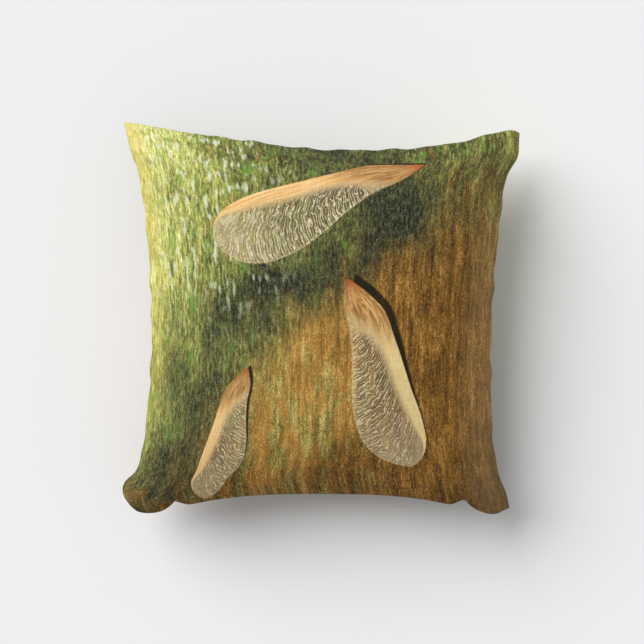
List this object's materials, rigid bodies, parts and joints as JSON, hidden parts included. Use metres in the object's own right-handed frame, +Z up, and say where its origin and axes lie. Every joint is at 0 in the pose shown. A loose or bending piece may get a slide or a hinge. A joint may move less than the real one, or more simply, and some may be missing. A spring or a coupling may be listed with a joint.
{
  "type": "square throw pillow with a printed cover",
  "caption": "Square throw pillow with a plump crowned form, pointed corners, a printed cover and a concealed zip over a fibre insert.",
  "frame": {"origin": "under the middle of the pillow's box, on the surface that it lies on", "axes": "+X along the pillow's width, +Y from the zipped bottom edge to the top edge, +Z up through the front panel"},
  "size_m": [0.392, 0.385, 0.1359],
  "materials": {
    "printed_cloth": "matte woven polyester with a dyed-through print of bark, moss and winged seeds",
    "sewing_thread": "spun polyester thread",
    "zip_tape": "close woven herringbone tape",
    "zip_teeth": "satin moulded nylon",
    "zip_metal": "satin antique plating",
    "insert_cloth": "white non-woven lining",
    "fibre_filling": "matte hollow polyester fibre"
  },
  "bodies": {
    "pillow": {"cover_front_panel": "printed_cloth", "cover_back_panel": "printed_cloth", "cover_seam_needle_thread": "sewing_thread", "cover_seam_bobbin_thread": "sewing_thread", "zip_stitching_upper": "sewing_thread", "zip_stitching_lower": "sewing_thread", "zip_tape_upper": "zip_tape", "zip_tape_lower": "zip_tape", "zip_teeth_upper": "zip_teeth", "zip_teeth_lower": "zip_teeth", "zip_top_stop_upper": "zip_metal", "zip_top_stop_lower": "zip_metal", "zip_bottom_stop": "zip_metal", "insert_front_panel": "insert_cloth", "insert_back_panel": "insert_cloth", "insert_seam_thread": "sewing_thread", "insert_filling": "fibre_filling"},
    "slider": {"zip_slider": "zip_metal"},
    "pull_tab": {"zip_pull_tab": "zip_metal"}
  },
  "joints": [
    {"name": "zip_slide", "type": "slide", "parent": "pillow", "child": "slider", "axis": [-1, 0, 0], "range_m": [0, 0.214]},
    {"name": "tab_hinge", "type": "hinge", "parent": "slider", "child": "pull_tab", "pos_m": [0.107, -0.17224, 0.04923], "axis": [0, -0.4067, 0.9135], "range_deg": [0, 160]}
  ]
}
